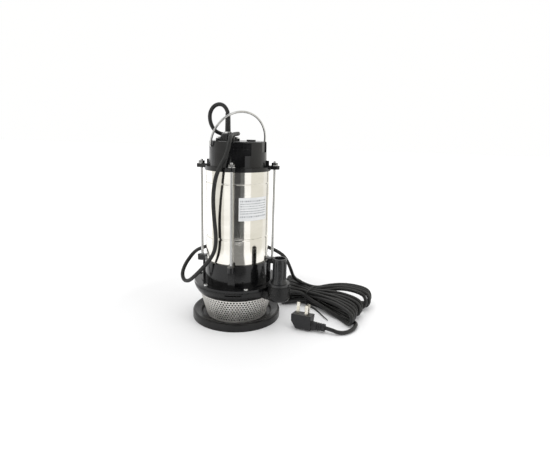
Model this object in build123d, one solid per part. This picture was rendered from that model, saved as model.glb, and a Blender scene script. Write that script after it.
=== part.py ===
from build123d import *
import math
import os

# Submersible sump pump: a vertical induction motor in a stainless shell over a single-stage
# centrifugal pump, with a perforated strainer, a dished foot, a hose connector, a bail handle
# and a mains lead that ends in an earthed plug.
# Millimetres, +Z up the shaft. The origin is the centre of the foot's underside.
# Angles are measured from +X about Z. The front of the pump faces -Y.

# ---- Fits ---------------------------------------------------------------------------------
seat_gap = 0.05            # between pieces pressed or slipped together
running_gap = 0.30         # between a turning piece and the casing around it
pivot_gap = 0.06           # radial play of the handle's pins

# ---- Foot and strainer --------------------------------------------------------------------
foot_radius = 87.0
foot_height = 15.4
foot_floor = 6.0
foot_edge_round = 4.0
foot_slope_width = 12.6     # from the crest inwards to the well
foot_slope_drop = 4.4
foot_well_step = 2.9
strainer_setback = 8.0     # from the well's wall in to the strainer's lower edge
strainer_lip = 0.7         # from the casing's underside in to the strainer's upper edge
strainer_wall = 1.0
foot_screw_depth = 12.0
counterbore_depth = 3.4

# ---- Pump casing --------------------------------------------------------------------------
casing_bottom = 54.0
casing_height = 19.5
casing_overhang = 23.5     # from the motor shell's outside out to the casing's rim
casing_taper = 10.5
casing_floor = 5.5
chamber_wall = 21.5
chamber_offset = 5.0
leg_radius = 6.5
leg_count = 4
eye_radius = 23.0
wear_ring_bore = 19.0

# ---- Outlet -------------------------------------------------------------------------------
outlet_angle = -33.5
boss_gap = 1.0             # between the boss and the casing's rim
boss_radius = 21.0
boss_bottom = 57.0
boss_height = 29.5
neck_width = 32.0
channel_width = 17.0
channel_height = 9.0
connector_bore = 10.0
connector_wall = 1.7
connector_lip = 1.1
connector_lip_height = 4.5
connector_foot_flare = 4.1
connector_spigot_wall = 1.6
connector_flange_inset = 1.5
connector_flange_height = 4.5
connector_height = 51.0
connector_spigot = 11.0
connector_rib_count = 12
connector_rib_width = 2.6
outlet_gasket_height = 1.0

# ---- Impeller -----------------------------------------------------------------------------
impeller_tip_gap = 12.0    # to the chamber's wall
impeller_height = 11.5
shroud_thickness = 2.5
vane_thickness = 3.0
vane_count = 6
vane_curve_radius = 30.0
vane_curve_offset = 27.0
impeller_hub_radius = 11.0
impeller_lift = 1.5        # above the casing floor
key_width = 4.0

# ---- Lower bracket (oil chamber and lower bearing) ----------------------------------------
gasket_thickness = 0.5
bracket_flange_height = 4.5
bracket_step_gap = 3.2     # between the step and the flange screws' heads
bracket_step_height = 1.5
bracket_overhang = 2.0     # beyond the shell's outside
bracket_lip = 0.8
bracket_lip_height = 6.5
bracket_height = 46.0      # gasket face to the shell's lower edge
spigot_depth = 9.0
spigot_wall = 4.7
oil_wall = 12.0
oil_floor = 6.0
oil_roof = 30.0
flange_screw_inset = 6.0
flange_screw_count = 6
flange_screw_angle = -69.0
screw_radius = 2.5
screw_head_radius = 4.3
screw_head_height = 3.0
oil_plug_angle = 52.0
oil_plug_lift = 20.0       # above the gasket face
oil_plug_radius = 5.0
oil_boss_radius = 9.0
oil_boss_height = 1.5

# ---- Shell, tie rods and ears -------------------------------------------------------------
shell_radius = 60.0
shell_wall = 1.2
shell_height = 171.7
lower_groove_height = 47.5     # above the shell's lower edge
upper_groove_drop = 21.9       # below the shell's upper edge
groove_depth = 1.0
groove_half_width = 2.2
upper_groove_depth = 0.7
upper_groove_half_width = 1.5
rod_offset = 9.5               # from the shell's outside to the rods' centres
rod_radius = 2.5
rod_count = 4
ear_width = 13.0
ear_tip = 9.5                  # from the rods' centres out to the ears' ends
ear_rib = 5.0                  # how far the rib under each lower ear stands out
lower_ear_height = 10.0
upper_ear_height = 7.0
rod_overhang = 3.0
nut_height = 4.5
nut_radius = 6.2
washer_thickness = 1.0
washer_radius = 6.4
o_ring_wire = 1.7
o_ring_lift = 3.0              # from each end of the shell to its seal ring

# ---- Top cover ----------------------------------------------------------------------------
cover_overhang = 2.4
cover_flange_height = 7.3
cover_step = 5.5               # from the shell's outside in to the crown
cover_taper = 1.2
cover_height = 53.0            # shell's upper edge to the cover's top
cover_roof = 4.0
cover_wall = 8.5
cover_spigot_depth = 11.7
cover_edge_round = 2.0
ribbed_angle = -76.0
ribbed_depth = 4.3
ribbed_width = 38.0
ribbed_height = 22.0
flat_angle = -81.0
flat_depth = 2.8
flat_width = 24.0
flat_height = 20.0
pad_angle = -16.0
pad_depth = 2.5
pad_width = 20.0
pad_height = 22.0

# ---- Handle -------------------------------------------------------------------------------
handle_angle = 38.0
handle_lean = 15.0             # as it rests, from upright to the front right
handle_clearance = 3.7         # from the crown's top edge to the wire's centre
handle_wire_radius = 2.0
handle_pivot_drop = 9.7        # below the cover's top
handle_leg = 7.0
handle_bend = 3.0
pivot_hole_web = 2.0           # metal left between a pin's hole and the cavity

# ---- Cable gland --------------------------------------------------------------------------
gland_x = -20.0
gland_y = 3.0
gland_radius = 14.0
gland_height = 13.0
gland_flange_height = 4.0
gland_screw_offset = 18.0
gland_screw_angle = 205.0
boot_radius = 5.25
boot_tip_radius = 4.6
boot_height = 44.0
boot_socket = 7.7
cap_x = 25.0
cap_y = -5.0
cap_radius = 8.5
cap_stem_radius = 6.0
cap_height = 2.8

# ---- Motor internals ----------------------------------------------------------------------
shaft_seal_radius = 7.5
shaft_rotor_radius = 10.0
shaft_hub_radius = 6.0
rotor_radius = 30.5
air_gap = 0.5
stator_height = 75.0
stator_lift = 51.0             # above the shell's lower edge
slot_count = 24
slot_root = 3.5                # rotor surface to the slots, with the air gap
core_back = 9.8                # slots to the shell's bore
slot_width = 5.0
winding_clearance = 0.2
end_turn_height = 20.0
end_ring_height = 6.0
lower_bearing_radius = 17.5
lower_bearing_width = 11.0
upper_bearing_radius = 16.0
upper_bearing_width = 10.0
washer_height = 1.6            # wave washer between the bearing and its cap
lower_ball_radius = 3.0
lower_ball_count = 8
upper_ball_radius = 2.9
upper_ball_count = 7
end_shield_thickness = 8.0
vent_radius = 5.0
spring_wire = 1.6
spring_turns = 4
seal_face_radius = 12.0
capacitor_height = 46.0        # top of the can above the end shield
capacitor_angle = 60.0
terminal_setback = 12.0        # from the cavity's wall in to the terminal block's middle
terminal_angle = 215.0
capacitor_clearance = 2.25     # to the bearing cap and to the cavity's wall
bearing_cap_overlap = 1.5

# ---- Nameplate ----------------------------------------------------------------------------
nameplate_start = -79.2
nameplate_sweep = 59.0
nameplate_lift = 84.0          # above the shell's lower edge
nameplate_height = 42.5
nameplate_thickness = 0.4

# ---- Lead and plug ------------------------------------------------------------------------
cord_radius = 3.7
plug_x = 133.3
plug_y = -54.5
plug_heading = -17.0
plug_tilt = 10.0
plug_length = 38.0
plug_height = 27.5
plug_face_width = 30.0
relief_length = 26.0
relief_root_radius = 8.6
relief_tip_radius = 7.0
relief_root = 6.0              # how far the relief starts inside the plug's end
relief_height = 8.7            # of its axis above the plug's back
relief_groove_count = 3
relief_groove_pitch = 4.0
blade_width = 6.3
blade_thickness = 1.6
blade_length = 18.0
earth_blade_length = 21.0

# The lead from the boot's tip, round over the cover, down the front left, round the back of
# the shell on the lower ears and down into the hank.
lead_route = [
    (-20, 3, 394), (-23, 3, 404), (-34, 5, 411), (-47, 5, 407), (-55, 5, 393), (-54, 6, 376),
    (-47, 10, 362), (-36, 17, 356), (-23, 23, 354), (-8, 20, 356), (1, 6, 358), (-5, -18, 357),
    (-6, -50, 355), (-5, -63, 343), (-9, -64, 325), (-17, -66, 308), (-26, -69, 291),
    (-31, -69, 269), (-34, -65, 242), (-33, -60, 205), (-30, -59, 178), (-30, -60, 158),
    (-34, -60, 142), (-43, -59, 127), (-57, -54, 110), (-72, -48, 93), (-87, -40, 78),
    (-100, -29, 75), (-106, -20, 86), (-101, -14, 103), (-92, -9, 117), (-87, 2, 124),
    (-82, 22, 126), (-63, 56, 126), (-31, 78, 126), (5, 84, 126), (41, 74, 126), (71, 49, 123),
    (87, 58, 111), (96, 64, 98), (102, 71, 83), (107, 80, 67), (111, 92, 51), (122, 103, 37),
]
# The tail from the front of the hank, along the floor to the plug's strain relief.
tail_route = [
    (238, -36, 6), (230, -54, 4), (216, -68, 4), (201, -73, 5), (189, -69.9, 8.6), (176.77, -66.25, 9.89),
]

# Outline of the tied hank on the floor: a flat bundle at the left and centre that fans out
# into loose bights at the right.
hank_outline = [
    (76, 54), (76, 78), (86, 118), (84, 148), (94, 164), (110, 162), (130, 142), (165, 112),
    (228, 112), (272, 88), (291, 58), (290, 30), (268, -16), (246, -52), (216, -56), (196, -30),
    (150, 44), (124, 52), (98, 42), (84, 44),
]
hank_rear_outline = [
    (84, 78), (90, 118), (88, 146), (96, 160), (110, 158), (130, 138), (165, 112), (228, 112),
    (272, 88), (286, 60), (230, 52), (160, 46), (124, 62), (96, 58),
]
hank_height = 30.0
hank_rear_height = 40.0
tie_x = 153.0
tie_y = 76.0
tie_turn = -29.0
tie_length = 86.0
tie_ends = [(180, -8, 3), (184, -15, 3)]

# ---- Radii worked out from the sizes above ------------------------------------------------
foot_slope_radius = foot_radius - foot_edge_round - foot_slope_width
foot_well_radius = foot_slope_radius - foot_well_step
strainer_foot_radius = foot_well_radius - strainer_setback
leg_circle = (eye_radius + strainer_foot_radius) / 2
casing_radius = shell_radius + casing_overhang
casing_underside_radius = casing_radius - casing_taper
strainer_top_radius = casing_underside_radius - strainer_lip
chamber_radius = casing_radius - chamber_wall
impeller_radius = chamber_radius - impeller_tip_gap
outlet_distance = casing_radius + boss_gap + boss_radius
boss_bore = connector_bore + connector_spigot_wall
connector_tube_radius = connector_bore + connector_wall
connector_lip_radius = connector_tube_radius + connector_lip
connector_flange_radius = boss_radius - connector_flange_inset
flange_screw_circle = casing_radius - flange_screw_inset
bracket_step_radius = flange_screw_circle - screw_head_radius - bracket_step_gap
bracket_radius = shell_radius + bracket_overhang
bracket_lip_radius = bracket_radius + bracket_lip
oil_radius = bracket_radius - oil_wall
rod_circle = shell_radius + rod_offset
ear_reach = rod_circle + ear_tip
shell_bore = shell_radius - shell_wall
slot_inner_radius = rotor_radius + slot_root
slot_outer_radius = shell_bore - core_back
cover_flange_radius = shell_radius + cover_overhang
cover_lower_radius = shell_radius - cover_step
cover_upper_radius = cover_lower_radius - cover_taper
cover_cavity_radius = cover_lower_radius - cover_wall
handle_half_span = cover_upper_radius + handle_clearance
pivot_hole_floor = cover_cavity_radius + pivot_hole_web
bearing_cap_radius = upper_bearing_radius + bearing_cap_overlap
capacitor_radius = (cover_cavity_radius - bearing_cap_radius) / 2 - capacitor_clearance
capacitor_circle = (cover_cavity_radius + bearing_cap_radius) / 2

# ---- Levels worked out from the sizes above -----------------------------------------------
casing_top = casing_bottom + casing_height
bracket_base = casing_top + gasket_thickness
flange_top = bracket_base + bracket_flange_height
shell_bottom = bracket_base + bracket_height
shell_top = shell_bottom + shell_height
cover_top = shell_top + cover_height
boss_top = boss_bottom + boss_height
connector_base = boss_top + outlet_gasket_height
impeller_bottom = casing_bottom + casing_floor + impeller_lift
impeller_top = impeller_bottom + impeller_height
lower_bearing_base = shell_bottom - lower_bearing_width - 2.0
lower_bearing_top = lower_bearing_base + lower_bearing_width
stator_bottom = shell_bottom + stator_lift
stator_top = stator_bottom + stator_height
end_shield_top = shell_top - cover_spigot_depth
end_shield_bottom = end_shield_top - end_shield_thickness
upper_bearing_base = end_shield_bottom - 6.0
upper_bearing_top = upper_bearing_base + upper_bearing_width
upper_ear_bottom = shell_top + 2.3
upper_ear_top = upper_ear_bottom + upper_ear_height
rod_nut_base = upper_ear_top + washer_thickness
upper_groove_height = shell_height - upper_groove_drop
lower_ear_top = shell_bottom + 1.0
lower_ear_bottom = lower_ear_top - lower_ear_height
pivot_height = cover_top - handle_pivot_drop
upper_o_ring_base = shell_top - 2 * o_ring_lift
rod_angles = [360.0 / rod_count * step for step in range(rod_count)]
parts = {}


# ---- Helpers ------------------------------------------------------------------------------
def on_circle(radius, angle, height=0.0):
    """Place at a radius and an angle about Z, turned so that local X points outwards."""
    return Rot(0, 0, angle) * Pos(radius, 0, height)


def post(radius, bottom, top):
    """Upright cylinder about Z between two heights."""
    return Pos(0, 0, bottom) * Cylinder(radius, top - bottom, align=(Align.CENTER, Align.CENTER, Align.MIN))


def ring(outer, inner, bottom, top):
    """Upright ring about Z between two heights."""
    return post(outer, bottom, top) - post(inner, bottom - 1, top + 1)


def block(length, width, bottom, top):
    """Block that starts at the origin and runs along +X, centred on the X axis."""
    corner = (Align.MIN, Align.CENTER, Align.MIN)
    return Pos(0, 0, bottom) * Box(length, width, top - bottom, align=corner)


def turned(outline):
    """Solid of revolution about Z from (radius, height) points."""
    profile = Plane.XZ * make_face(Polyline(*outline, close=True))
    return revolve(profile, Axis.Z)


def hexagon(radius, bottom, top):
    """Upright hexagonal prism about Z; radius is to the corners."""
    return Pos(0, 0, bottom) * extrude(RegularPolygon(radius, 6), top - bottom)


def repeat(shape, radius, count, first_angle=0.0):
    """Copies of a shape spaced evenly round Z, as one list of solids."""
    return [on_circle(radius, first_angle + 360.0 / count * step) * shape for step in range(count)]


def save(node, shapes):
    """Keep a node's solid, or its group of separate solids."""
    group = shapes if isinstance(shapes, list) else [shapes]
    solids = [solid for shape in group for solid in shape.solids()]
    parts[node] = solids[0] if len(solids) == 1 else Compound(children=solids)


# ---- Foot and strainer --------------------------------------------------------------------
def foot():
    slope_height = foot_height - foot_slope_drop
    crest_radius = foot_radius - foot_edge_round
    body = turned([
        (0, 0), (foot_radius, 0), (foot_radius, foot_height - foot_edge_round),
        (foot_radius - 0.3 * foot_edge_round, foot_height - 0.3 * foot_edge_round),
        (crest_radius, foot_height), (foot_slope_radius, slope_height),
        (foot_well_radius, foot_floor), (0, foot_floor),
    ])
    for step in range(leg_count):
        hole = post(screw_radius + seat_gap, -1, foot_floor + 1)
        hole += post(screw_head_radius + 0.4, -1, counterbore_depth)
        body -= on_circle(leg_circle, 45 + 360.0 / leg_count * step) * hole
    return body


def foot_screws():
    head = post(screw_head_radius, counterbore_depth - screw_head_height, counterbore_depth)
    thread = post(screw_radius, counterbore_depth, foot_floor + foot_screw_depth)
    return repeat(head + thread, leg_circle, leg_count, 45)


def strainer():
    outline = [
        (strainer_foot_radius, foot_floor), (strainer_top_radius, casing_bottom),
        (strainer_top_radius - strainer_wall, casing_bottom),
        (strainer_foot_radius - strainer_wall, foot_floor),
    ]
    return turned(outline)


# ---- Pump casing --------------------------------------------------------------------------
def casing():
    flank = ThreePointArc(
        (casing_underside_radius, casing_bottom),
        (casing_radius - 4.0, casing_bottom + 0.39 * casing_height),
        (casing_radius, casing_top - 2.5),
    )
    rim = Polyline((casing_radius, casing_top - 2.5), (casing_radius, casing_top), (0, casing_top),
                   (0, casing_bottom), (casing_underside_radius, casing_bottom))
    bowl = revolve(Plane.XZ * make_face([flank, rim]), Axis.Z)
    boss = fillet(post(boss_radius, boss_bottom, boss_top).edges().group_by(Axis.Z)[0], 9.0)
    neck = block(outlet_distance - chamber_radius, neck_width, boss_bottom + 1.5, casing_top)
    body = bowl + on_circle(outlet_distance, outlet_angle) * boss
    body += on_circle(chamber_radius, outlet_angle) * neck
    floor_top = casing_bottom + casing_floor
    body -= on_circle(chamber_offset, outlet_angle) * post(chamber_radius, floor_top, casing_top + 1)
    body -= post(eye_radius, casing_bottom - 1, floor_top + 1)
    channel = block(outlet_distance, channel_width, floor_top + 2, floor_top + 2 + channel_height)
    body -= Rot(0, 0, outlet_angle) * channel
    body -= on_circle(outlet_distance, outlet_angle) * post(boss_bore, floor_top + 2, boss_top + 1)
    for solid in repeat(post(leg_radius, foot_floor, casing_bottom + 1), leg_circle, leg_count, 45):
        body += solid
    leg_hole = post(screw_radius + seat_gap, foot_floor - 1, foot_floor + foot_screw_depth + 1)
    for hole in repeat(leg_hole, leg_circle, leg_count, 45):
        body -= hole
    screw_hole = post(screw_radius + seat_gap, casing_top - 8.5, casing_top + 1)
    for hole in repeat(screw_hole, flange_screw_circle, flange_screw_count, flange_screw_angle):
        body -= hole
    slot = Pos(casing_radius - 1.5, 0, casing_top - 4.5) * Box(6, 32, 2.6)
    return body - Rot(0, 0, -86) * slot


def wear_ring():
    floor_top = casing_bottom + casing_floor
    return ring(eye_radius - seat_gap, wear_ring_bore, casing_bottom, floor_top)


def gasket():
    sheet = ring(casing_radius - 1.5, chamber_radius + chamber_offset + 1.0, casing_top, bracket_base)
    for hole in repeat(post(screw_radius + 0.3, casing_top - 1, bracket_base + 1), flange_screw_circle,
                       flange_screw_count, flange_screw_angle):
        sheet -= hole
    return sheet


def flange_screws():
    screw = post(screw_radius, casing_top - 8, flange_top)
    screw += post(screw_head_radius, flange_top, flange_top + 1.6)
    dome = post(screw_head_radius - 0.8, flange_top + 1.6, flange_top + screw_head_height)
    return repeat(screw + dome, flange_screw_circle, flange_screw_count, flange_screw_angle)


# ---- Impeller and its fastening -----------------------------------------------------------
def impeller():
    back = post(impeller_radius, impeller_top - shroud_thickness, impeller_top)
    front = ring(impeller_radius, 16.0, impeller_bottom, impeller_bottom + shroud_thickness)
    neck = ring(wear_ring_bore - running_gap, 16.0, casing_bottom + 1.5, impeller_bottom + shroud_thickness)
    wheel = back + front + neck + post(impeller_hub_radius, impeller_bottom + 1, impeller_top)
    low = impeller_bottom + shroud_thickness - 0.5
    high = impeller_top - shroud_thickness + 0.5
    arc_outer = vane_curve_radius + vane_thickness / 2
    arc = Pos(vane_curve_offset, 0, 0) * ring(arc_outer, arc_outer - vane_thickness, low, high)
    reach = Pos(0, 0, low) * Box(impeller_radius, impeller_radius, high - low, align=(Align.MIN,) * 3)
    vane = arc & reach & ring(impeller_radius - 0.5, impeller_hub_radius - 1, low, high)
    for step in range(vane_count):
        wheel += Rot(0, 0, 360.0 / vane_count * step) * vane
    wheel -= post(shaft_hub_radius + seat_gap, casing_bottom, impeller_top + 1)
    slot = block(shaft_hub_radius + 2.2, key_width + 2 * seat_gap, impeller_bottom, impeller_top + 1)
    return wheel - slot


def impeller_key():
    outer = shaft_hub_radius + 2.0
    inner = shaft_hub_radius - 2.0
    bar = block(outer - inner, key_width, impeller_bottom + 2, impeller_top)
    return Pos(inner, 0, 0) * bar


def impeller_nut():
    top = impeller_bottom + 1.0
    nut = hexagon(9.4, top - 5.0, top) - post(shaft_hub_radius - 1 + seat_gap, top - 6, top + 1)
    return nut


def shaft():
    body = turned([
        (0, impeller_bottom - 5.5), (shaft_hub_radius - 1, impeller_bottom - 5.5),
        (shaft_hub_radius - 1, impeller_bottom + 1), (shaft_hub_radius, impeller_bottom + 1),
        (shaft_hub_radius, impeller_top), (shaft_seal_radius, impeller_top),
        (shaft_seal_radius, lower_bearing_top), (shaft_rotor_radius, lower_bearing_top),
        (shaft_rotor_radius, stator_top + 10), (shaft_hub_radius + 2, stator_top + 10),
        (shaft_hub_radius + 2, upper_bearing_base), (shaft_hub_radius, upper_bearing_base),
        (shaft_hub_radius, upper_bearing_top + 1), (0, upper_bearing_top + 1),
    ])
    cut = block(6, key_width + 2 * seat_gap, impeller_bottom + 1.9, impeller_top + seat_gap)
    return body - Pos(shaft_hub_radius - 2 - seat_gap, 0, 0) * cut


# ---- Lower bracket ------------------------------------------------------------------------
def ear(bottom, top):
    """Rod ear with a rounded end, from the body out to ear_reach along +X."""
    start = shell_radius - 6.0
    reach = ear_reach - ear_width / 2
    tab = Pos(start, 0, 0) * block(reach - start, ear_width, bottom, top)
    return tab + Pos(reach, 0, 0) * post(ear_width / 2, bottom, top)


def o_ring_groove(height):
    """Square groove round a spigot for a seal ring."""
    return ring(shell_bore + 1, shell_bore - o_ring_wire, height, height + 2 * o_ring_wire)


def lower_bracket():
    body = post(casing_radius - 0.5, bracket_base, flange_top)
    body += post(bracket_step_radius, flange_top, flange_top + bracket_step_height)
    body += post(bracket_radius, flange_top, shell_bottom)
    body += post(bracket_lip_radius, shell_bottom - bracket_lip_height, shell_bottom)
    rib_start = oil_radius + 4
    rib_length = bracket_radius + ear_rib - rib_start
    for angle in rod_angles:
        rib = Pos(rib_start, 0, 0) * block(rib_length, ear_width, flange_top, lower_ear_bottom + 1)
        body += Rot(0, 0, angle) * (ear(lower_ear_bottom, lower_ear_top) + rib)
    body -= post(shell_radius + running_gap, shell_bottom, lower_ear_top + 1)
    body += post(shell_bore - seat_gap, shell_bottom - 1, shell_bottom + spigot_depth)
    spigot_bore = shell_bore - spigot_wall
    hub_radius = lower_bearing_radius + 6.0
    body -= ring(spigot_bore, hub_radius, shell_bottom - 8, shell_bottom + spigot_depth + 1)
    body -= post(hub_radius + 1, lower_bearing_top + 1, shell_bottom + spigot_depth + 1)
    body -= post(oil_radius, bracket_base + oil_floor, bracket_base + oil_roof)
    body -= post(seal_face_radius + 2, bracket_base - 1, bracket_base + oil_floor + 1)
    body -= post(lower_bearing_radius - 3.5, bracket_base + oil_roof - 1, lower_bearing_base + 1)
    body -= post(lower_bearing_radius, lower_bearing_base, shell_bottom + spigot_depth)
    body -= o_ring_groove(shell_bottom + o_ring_lift)
    for angle in rod_angles:
        hole = post(rod_radius + seat_gap, lower_ear_bottom - 1, lower_ear_top + 1)
        body -= on_circle(rod_circle, angle) * hole
    for hole in repeat(post(screw_radius + seat_gap, bracket_base - 1, flange_top + 1), flange_screw_circle,
                       flange_screw_count, flange_screw_angle):
        body -= hole
    body += oil_plug_place() * post(oil_boss_radius, rib_start, bracket_radius + oil_boss_height)
    return body - oil_plug_place() * post(oil_plug_radius + seat_gap, oil_radius - 3, bracket_radius + 5)


def oil_plug_place():
    """Level of the oil plug, with local Z pointing outwards from the shaft."""
    return Rot(0, 0, oil_plug_angle) * Pos(0, 0, bracket_base + oil_plug_lift) * Rot(0, 90, 0)


def oil_plug():
    face = bracket_radius + oil_boss_height
    return oil_plug_place() * (post(oil_plug_radius, oil_radius + 2, face) + hexagon(7.0, face, face + 4.0))


def o_ring(height):
    """Seal ring that fills a square groove cut in a spigot, just inside the shell's bore."""
    inner = shell_bore - o_ring_wire + seat_gap
    return ring(shell_bore - seat_gap, inner, height + seat_gap, height + 2 * o_ring_wire - seat_gap)


def seal_seat():
    return ring(seal_face_radius + 2 - seat_gap, shaft_seal_radius + 0.5, bracket_base + 0.5,
                bracket_base + oil_floor - seat_gap)


def seal_face():
    base = bracket_base + oil_floor
    return ring(seal_face_radius, shaft_seal_radius + seat_gap, base, base + 6.0)


def seal_spring():
    base = bracket_base + oil_floor + 6.0
    height = lower_bearing_base - 6.0 - base
    coil_radius = shaft_seal_radius + 0.4 + spring_wire / 2
    pitch = (height - spring_wire - 0.2) / spring_turns
    path = Pos(0, 0, base + spring_wire / 2 + 0.1) * Helix(pitch, pitch * spring_turns, coil_radius)
    section = Plane(origin=path @ 0, z_dir=path % 0) * Circle(spring_wire / 2)
    return sweep(section, path, is_frenet=True)


def seal_collar():
    top = lower_bearing_base
    return ring(shaft_rotor_radius + 0.5, shaft_seal_radius + seat_gap, top - 6.0, top)


# ---- Bearings -----------------------------------------------------------------------------
def bearing(outer, inner, base, width, ball_radius, ball_count):
    """Inner ring, outer ring, balls and cage of a single-row ball bearing."""
    land = (outer - inner) * 0.3
    pitch = (outer + inner) / 2
    middle = base + width / 2
    groove = Pos(0, 0, middle) * Torus(pitch, ball_radius + seat_gap)
    inner_ring = ring(inner + land - 0.5, inner + seat_gap, base, base + width) - groove
    outer_ring = ring(outer - seat_gap, outer - land + 0.5, base, base + width) - groove
    balls = repeat(Pos(0, 0, middle) * Sphere(ball_radius), pitch, ball_count)
    half_height = ball_radius + 0.9
    cage = ring(pitch + 0.6, pitch - 0.6, middle - half_height, middle + half_height)
    window = Pos(-2, 0, middle) * Rot(0, 90, 0) * post(ball_radius + 2 * seat_gap, 0, 4)
    for hole in repeat(window, pitch, ball_count):
        cage -= hole
    return inner_ring, outer_ring, balls, cage


# ---- Motor --------------------------------------------------------------------------------
def shell():
    tube = ring(shell_radius, shell_bore, shell_bottom, shell_top)
    for height, depth, half in ((lower_groove_height, groove_depth, groove_half_width),
                                (upper_groove_height, upper_groove_depth, upper_groove_half_width)):
        middle = shell_bottom + height
        bead = turned([
            (shell_bore - depth, middle - half * 0.4), (shell_bore - depth, middle + half * 0.4),
            (shell_bore + 0.1, middle + half), (shell_bore + 0.1, middle - half),
        ])
        recess = turned([
            (shell_radius - depth, middle - half * 0.4), (shell_radius - depth, middle + half * 0.4),
            (shell_radius + 0.1, middle + half), (shell_radius + 0.1, middle - half),
        ])
        tube = tube + bead - recess
    return tube


def stator():
    core = ring(shell_bore - seat_gap, rotor_radius + air_gap, stator_bottom, stator_top)
    slot = Pos(slot_inner_radius, 0, 0) * block(slot_outer_radius - slot_inner_radius, slot_width,
                                               stator_bottom - 1, stator_top + 1)
    mouth = Pos(rotor_radius, 0, 0) * block(slot_inner_radius - rotor_radius + 1, 1.6, stator_bottom - 1,
                                           stator_top + 1)
    for step in range(slot_count):
        core -= Rot(0, 0, 360.0 / slot_count * step) * (slot + mouth)
    return core


def winding():
    inner = slot_inner_radius + winding_clearance
    outer = slot_outer_radius - winding_clearance
    lower = ring(outer + 3, inner, stator_bottom - end_turn_height, stator_bottom - 1)
    upper = ring(outer + 3, inner, stator_top + 1, stator_top + end_turn_height)
    coil = lower + upper
    bar = block(outer - inner - 1, slot_width - 2 * winding_clearance, stator_bottom - 2, stator_top + 2)
    bar = Pos(inner + 0.5, 0, 0) * bar
    for step in range(slot_count):
        coil += Rot(0, 0, 360.0 / slot_count * step) * bar
    return coil


def rotor_core():
    return ring(rotor_radius, shaft_rotor_radius + seat_gap, stator_bottom, stator_top)


def rotor_end_rings():
    bases = (stator_bottom - end_ring_height, stator_top)
    return [ring(rotor_radius - 1, shaft_rotor_radius + 8, base, base + end_ring_height) for base in bases]


def end_shield():
    hub_radius = upper_bearing_radius + 6
    hub = post(hub_radius, upper_bearing_base - 2, end_shield_top)
    plate = post(shell_bore - seat_gap, end_shield_bottom, end_shield_top) + hub
    plate -= post(upper_bearing_radius - 3, upper_bearing_base - 3, end_shield_top + 1)
    plate -= post(upper_bearing_radius, upper_bearing_base, end_shield_top + 1)
    vent_circle = (hub_radius + shell_bore) / 2
    for vent in repeat(post(vent_radius, end_shield_bottom - 1, end_shield_top + 1), vent_circle, 4, 15):
        plate -= vent
    return plate


def bearing_cap():
    disc = post(bearing_cap_radius, end_shield_top, end_shield_top + 2.5)
    outer = upper_bearing_radius - seat_gap
    return disc + ring(outer, outer - 3, upper_bearing_top + washer_height, end_shield_top + 1)


def wave_washer():
    outer = upper_bearing_radius - 0.1
    return ring(outer, outer - 2.7, upper_bearing_top, upper_bearing_top + washer_height)


def capacitor():
    can_top = end_shield_top + capacitor_height
    can = post(capacitor_radius, end_shield_top + 1.5, can_top)
    for side in (-5, 5):
        can += Pos(side, 0, can_top - 1) * Box(1, 4, 6, align=(Align.CENTER, Align.CENTER, Align.MIN))
    return on_circle(capacitor_circle, capacitor_angle) * can


def capacitor_clip():
    inner = capacitor_radius + seat_gap
    outer = inner + 1.2
    strap = ring(outer, inner, end_shield_top + 14, end_shield_top + 24)
    tray = post(outer, end_shield_top, end_shield_top + 1.5)
    leg = ring(outer, inner, end_shield_top, end_shield_top + 24) & Box(60, 8, 1000)
    return on_circle(capacitor_circle, capacitor_angle) * (strap + tray + leg)


def terminal_block():
    body = Box(30, 12, 13, align=(Align.CENTER, Align.CENTER, Align.MIN))
    for step in range(3):
        well = Pos(-10 + 10 * step, 0, 8) * Cylinder(2.5, 6, align=(Align.CENTER, Align.CENTER, Align.MIN))
        body -= well
    place = on_circle(cover_cavity_radius - terminal_setback, terminal_angle, end_shield_top)
    return place * Rot(0, 0, 90) * body


# ---- Top cover ----------------------------------------------------------------------------
def top_cover():
    flange_height = shell_top + cover_flange_height
    crown = turned([
        (0, shell_top), (cover_lower_radius, shell_top), (cover_lower_radius, flange_height),
        (cover_upper_radius, cover_top - cover_edge_round), (cover_upper_radius - 0.6, cover_top - 0.6),
        (cover_upper_radius - cover_edge_round, cover_top), (0, cover_top),
    ])
    body = crown + post(cover_flange_radius, shell_top, flange_height)
    for angle in rod_angles:
        gusset = Pos(cover_cavity_radius + 4, 0, 0) * block(9.0, 5.0, upper_ear_top - 1, upper_ear_top + 9)
        body += Rot(0, 0, angle) * (ear(upper_ear_bottom, upper_ear_top) + gusset)
    body += post(shell_bore - seat_gap, end_shield_top, shell_top + 1)
    body -= post(cover_cavity_radius, end_shield_top - 1, cover_top - cover_roof)
    body -= o_ring_groove(upper_o_ring_base)
    for angle in rod_angles:
        body -= on_circle(rod_circle, angle) * post(rod_radius + seat_gap, shell_top, upper_ear_top + 1)
    body -= cover_panels()
    for angle in (handle_angle, handle_angle + 180):
        hole = Rot(0, 90, 0) * post(handle_wire_radius + pivot_gap, 0, 12)
        body -= Rot(0, 0, angle) * Pos(pivot_hole_floor, 0, pivot_height) * hole
    body -= Pos(gland_x, gland_y, 0) * post(boot_radius, cover_top - cover_roof - 1, cover_top + 1)
    body -= Pos(cap_x, cap_y, 0) * post(cap_stem_radius + seat_gap, cover_top - cover_roof - 1, cover_top + 1)
    return body


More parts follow.
